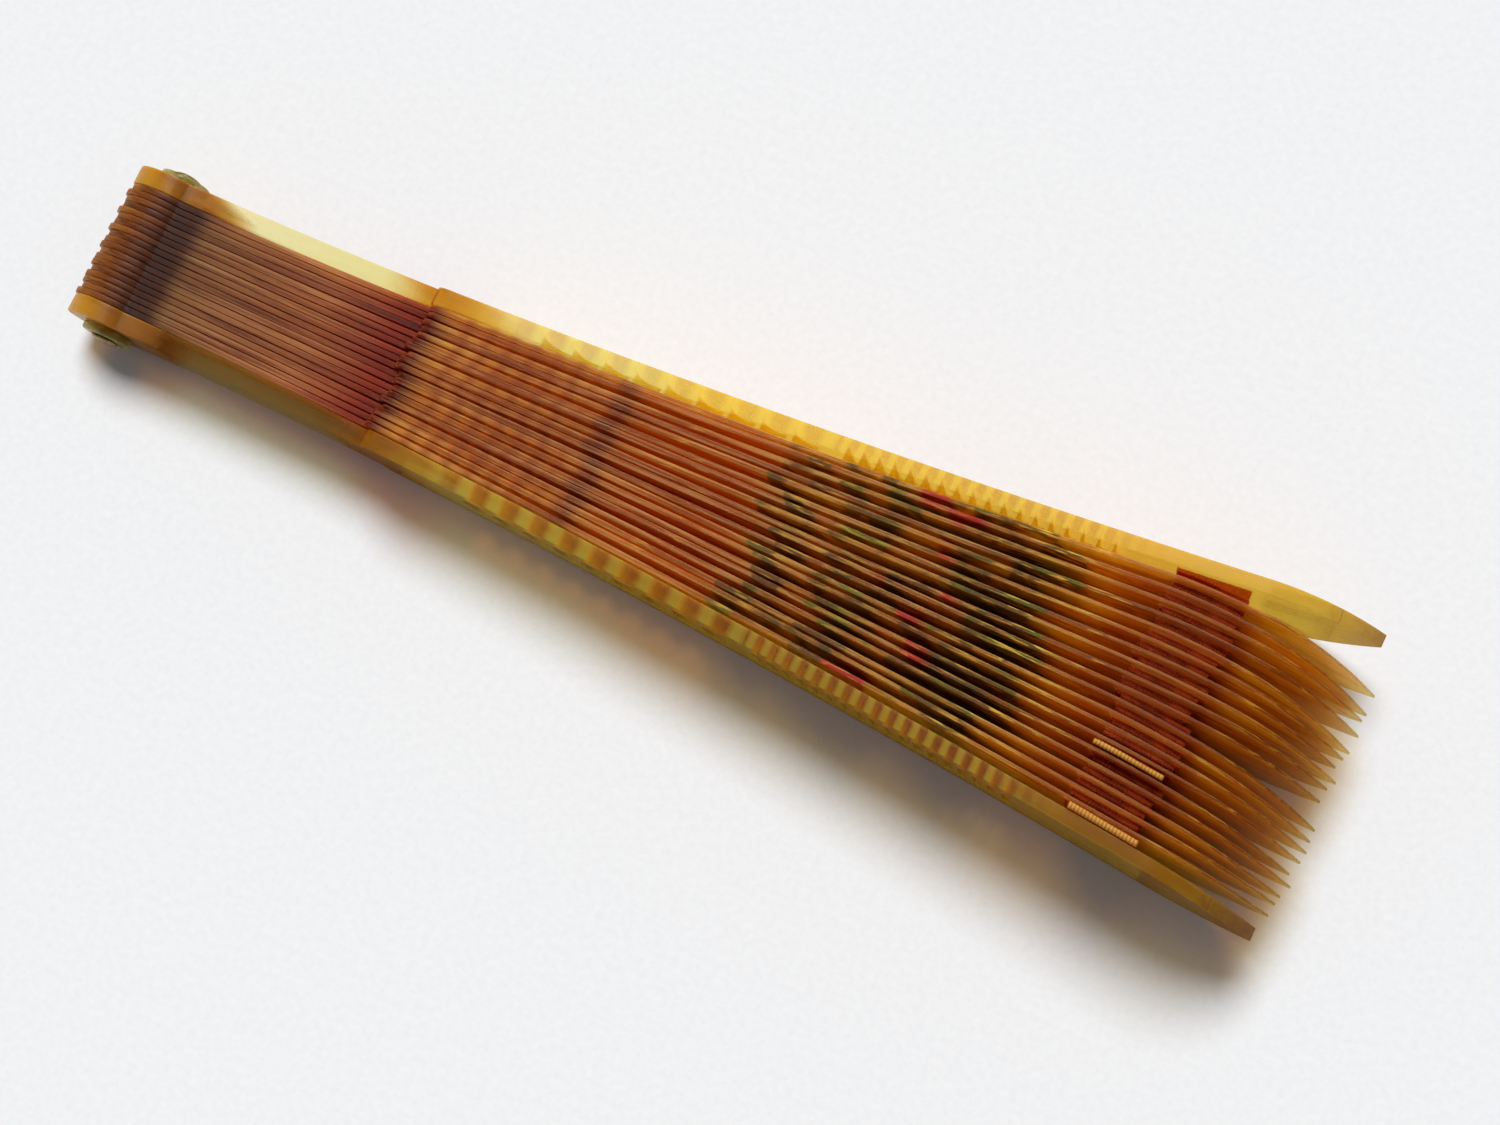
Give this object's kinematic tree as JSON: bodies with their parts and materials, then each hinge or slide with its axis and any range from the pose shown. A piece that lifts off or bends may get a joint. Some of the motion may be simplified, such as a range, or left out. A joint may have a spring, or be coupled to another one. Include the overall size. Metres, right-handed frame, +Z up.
{
  "type": "brise fan",
  "caption": "Closed horn brise fan lying on its edge: thin pierced and painted sticks between two guards, turning on one rivet and held by a threaded silk ribbon.",
  "frame": {"origin": "on the table, under the middle of the closed fan's box", "axes": "+X from the head to the tips, +Y along the rivet from the back guard to the front guard, +Z up"},
  "size_m": [0.1898, 0.0444, 0.0246],
  "materials": {
    "guard_horn": "polished translucent horn",
    "stick_horn": "polished translucent horn, painted",
    "silk_ribbon": "woven silk",
    "rivet_brass": "worn",
    "washer_horn": "pale polished horn"
  },
  "bodies": {
    "back_guard": {"guard_back": "guard_horn", "ribbon_end_back": "silk_ribbon", "rivet_pin": "rivet_brass", "washer_back": "washer_horn", "washer_front": "washer_horn"},
    "front_guard": {"guard_front": "guard_horn", "ribbon_end_front": "silk_ribbon"},
    "stick_01": {"stick_01": "stick_horn", "ribbon_01": "silk_ribbon"},
    "stick_02": {"stick_02": "stick_horn", "ribbon_02": "silk_ribbon"},
    "stick_03": {"stick_03": "stick_horn", "ribbon_03": "silk_ribbon"},
    "stick_04": {"stick_04": "stick_horn", "ribbon_04": "silk_ribbon"},
    "stick_05": {"stick_05": "stick_horn", "ribbon_05": "silk_ribbon"},
    "stick_06": {"stick_06": "stick_horn", "ribbon_06": "silk_ribbon"},
    "stick_07": {"stick_07": "stick_horn", "ribbon_07": "silk_ribbon"},
    "stick_08": {"stick_08": "stick_horn", "ribbon_08": "silk_ribbon"},
    "stick_09": {"stick_09": "stick_horn", "ribbon_09": "silk_ribbon"},
    "stick_10": {"stick_10": "stick_horn", "ribbon_10": "silk_ribbon"},
    "stick_11": {"stick_11": "stick_horn", "ribbon_11": "silk_ribbon"},
    "stick_12": {"stick_12": "stick_horn", "ribbon_12": "silk_ribbon"},
    "stick_13": {"stick_13": "stick_horn", "ribbon_13": "silk_ribbon"},
    "stick_14": {"stick_14": "stick_horn", "ribbon_14": "silk_ribbon"},
    "stick_15": {"stick_15": "stick_horn", "ribbon_15": "silk_ribbon"},
    "stick_16": {"stick_16": "stick_horn", "ribbon_16": "silk_ribbon"},
    "stick_17": {"stick_17": "stick_horn", "ribbon_17": "silk_ribbon"},
    "stick_18": {"stick_18": "stick_horn", "ribbon_18": "silk_ribbon"},
    "stick_19": {"stick_19": "stick_horn", "ribbon_19": "silk_ribbon"}
  },
  "joints": [
    {"name": "fan_open", "type": "hinge", "parent": "back_guard", "child": "front_guard", "pos_m": [-0.08845, 0, 0.0065], "axis": [0, -1, 0], "range_deg": [0, 170]},
    {"name": "stick_01_turn", "type": "hinge", "parent": "back_guard", "child": "stick_01", "pos_m": [-0.08845, 0, 0.0065], "axis": [0, -1, 0], "range_deg": [0, 8.5]},
    {"name": "stick_02_turn", "type": "hinge", "parent": "back_guard", "child": "stick_02", "pos_m": [-0.08845, 0, 0.0065], "axis": [0, -1, 0], "range_deg": [0, 17]},
    {"name": "stick_03_turn", "type": "hinge", "parent": "back_guard", "child": "stick_03", "pos_m": [-0.08845, 0, 0.0065], "axis": [0, -1, 0], "range_deg": [0, 25.5]},
    {"name": "stick_04_turn", "type": "hinge", "parent": "back_guard", "child": "stick_04", "pos_m": [-0.08845, 0, 0.0065], "axis": [0, -1, 0], "range_deg": [0, 34]},
    {"name": "stick_05_turn", "type": "hinge", "parent": "back_guard", "child": "stick_05", "pos_m": [-0.08845, 0, 0.0065], "axis": [0, -1, 0], "range_deg": [0, 42.5]},
    {"name": "stick_06_turn", "type": "hinge", "parent": "back_guard", "child": "stick_06", "pos_m": [-0.08845, 0, 0.0065], "axis": [0, -1, 0], "range_deg": [0, 51]},
    {"name": "stick_07_turn", "type": "hinge", "parent": "back_guard", "child": "stick_07", "pos_m": [-0.08845, 0, 0.0065], "axis": [0, -1, 0], "range_deg": [0, 59.5]},
    {"name": "stick_08_turn", "type": "hinge", "parent": "back_guard", "child": "stick_08", "pos_m": [-0.08845, 0, 0.0065], "axis": [0, -1, 0], "range_deg": [0, 68]},
    {"name": "stick_09_turn", "type": "hinge", "parent": "back_guard", "child": "stick_09", "pos_m": [-0.08845, 0, 0.0065], "axis": [0, -1, 0], "range_deg": [0, 76.5]},
    {"name": "stick_10_turn", "type": "hinge", "parent": "back_guard", "child": "stick_10", "pos_m": [-0.08845, 0, 0.0065], "axis": [0, -1, 0], "range_deg": [0, 85]},
    {"name": "stick_11_turn", "type": "hinge", "parent": "back_guard", "child": "stick_11", "pos_m": [-0.08845, 0, 0.0065], "axis": [0, -1, 0], "range_deg": [0, 93.5]},
    {"name": "stick_12_turn", "type": "hinge", "parent": "back_guard", "child": "stick_12", "pos_m": [-0.08845, 0, 0.0065], "axis": [0, -1, 0], "range_deg": [0, 102]},
    {"name": "stick_13_turn", "type": "hinge", "parent": "back_guard", "child": "stick_13", "pos_m": [-0.08845, 0, 0.0065], "axis": [0, -1, 0], "range_deg": [0, 110.5]},
    {"name": "stick_14_turn", "type": "hinge", "parent": "back_guard", "child": "stick_14", "pos_m": [-0.08845, 0, 0.0065], "axis": [0, -1, 0], "range_deg": [0, 119]},
    {"name": "stick_15_turn", "type": "hinge", "parent": "back_guard", "child": "stick_15", "pos_m": [-0.08845, 0, 0.0065], "axis": [0, -1, 0], "range_deg": [0, 127.5]},
    {"name": "stick_16_turn", "type": "hinge", "parent": "back_guard", "child": "stick_16", "pos_m": [-0.08845, 0, 0.0065], "axis": [0, -1, 0], "range_deg": [0, 136]},
    {"name": "stick_17_turn", "type": "hinge", "parent": "back_guard", "child": "stick_17", "pos_m": [-0.08845, 0, 0.0065], "axis": [0, -1, 0], "range_deg": [0, 144.5]},
    {"name": "stick_18_turn", "type": "hinge", "parent": "back_guard", "child": "stick_18", "pos_m": [-0.08845, 0, 0.0065], "axis": [0, -1, 0], "range_deg": [0, 153]},
    {"name": "stick_19_turn", "type": "hinge", "parent": "back_guard", "child": "stick_19", "pos_m": [-0.08845, 0, 0.0065], "axis": [0, -1, 0], "range_deg": [0, 161.5]}
  ],
  "couplings": [
    {"joint": "stick_01_turn", "follows": "fan_open", "ratio": 0.05},
    {"joint": "stick_02_turn", "follows": "fan_open", "ratio": 0.1},
    {"joint": "stick_03_turn", "follows": "fan_open", "ratio": 0.15},
    {"joint": "stick_04_turn", "follows": "fan_open", "ratio": 0.2},
    {"joint": "stick_05_turn", "follows": "fan_open", "ratio": 0.25},
    {"joint": "stick_06_turn", "follows": "fan_open", "ratio": 0.3},
    {"joint": "stick_07_turn", "follows": "fan_open", "ratio": 0.35},
    {"joint": "stick_08_turn", "follows": "fan_open", "ratio": 0.4},
    {"joint": "stick_09_turn", "follows": "fan_open", "ratio": 0.45},
    {"joint": "stick_10_turn", "follows": "fan_open", "ratio": 0.5},
    {"joint": "stick_11_turn", "follows": "fan_open", "ratio": 0.55},
    {"joint": "stick_12_turn", "follows": "fan_open", "ratio": 0.6},
    {"joint": "stick_13_turn", "follows": "fan_open", "ratio": 0.65},
    {"joint": "stick_14_turn", "follows": "fan_open", "ratio": 0.7},
    {"joint": "stick_15_turn", "follows": "fan_open", "ratio": 0.75},
    {"joint": "stick_16_turn", "follows": "fan_open", "ratio": 0.8},
    {"joint": "stick_17_turn", "follows": "fan_open", "ratio": 0.85},
    {"joint": "stick_18_turn", "follows": "fan_open", "ratio": 0.9},
    {"joint": "stick_19_turn", "follows": "fan_open", "ratio": 0.95}
  ]
}
